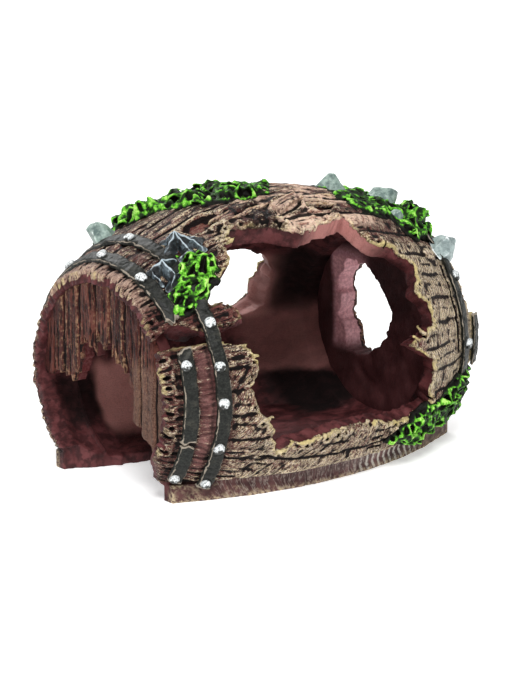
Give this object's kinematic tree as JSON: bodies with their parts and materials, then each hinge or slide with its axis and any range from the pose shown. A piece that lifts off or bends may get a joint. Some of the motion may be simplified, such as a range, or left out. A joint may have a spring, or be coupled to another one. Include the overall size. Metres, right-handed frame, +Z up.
{
  "type": "resin cave ornament",
  "caption": "Hollow broken wooden barrel lying on its side, with hoops, stones and moss, as a hiding cave for an aquarium.",
  "frame": {"origin": "middle of the flat rest face, under the middle of the barrel axis", "axes": "+X along the barrel axis to the right end, -Y out of the large front window, +Z up"},
  "size_m": [0.1117, 0.0876, 0.0767],
  "materials": {
    "cast_wood": "matt painted resin, red-brown wood with cream dry-brushed edges and near-black seams",
    "head_boards": "matt painted resin, brown boards with tan dry-brushing",
    "hoop_paint": "matt painted resin, dark grey-green with light edges",
    "rivet_paint": "silver-white paint with a slight sheen",
    "rock_paint": "matt painted resin, dark blue-grey with pale ridges",
    "pale_stone_paint": "satin painted resin, pale grey",
    "stone_paint": "satin painted resin, mid grey",
    "splinter_wood": "matt painted resin, pale red-brown wood",
    "moss_paint": "matt painted resin, bright green ridges over dark green hollows"
  },
  "bodies": {
    "root": {"shell": "cast_wood", "left_head": "head_boards", "right_head": "head_boards", "hoop_left_upper": "hoop_paint", "hoop_left_middle": "hoop_paint", "hoop_left_foot": "hoop_paint", "hoop_inner": "hoop_paint", "hoop_right": "hoop_paint", "hoop_stub": "hoop_paint", "rivets_left": "rivet_paint", "rivets_inner": "rivet_paint", "rivets_right": "rivet_paint", "stone_left": "stone_paint", "rock_cluster": "rock_paint", "rock_spur": "rock_paint", "stone_crest": "stone_paint", "stone_right": "stone_paint", "stone_small": "stone_paint", "stone_pale": "pale_stone_paint", "roof_board": "splinter_wood", "roof_splinters": "splinter_wood", "moss_ridge": "moss_paint", "moss_clump": "moss_paint", "moss_right_roof": "moss_paint", "moss_foot": "moss_paint"}
  },
  "joints": []
}
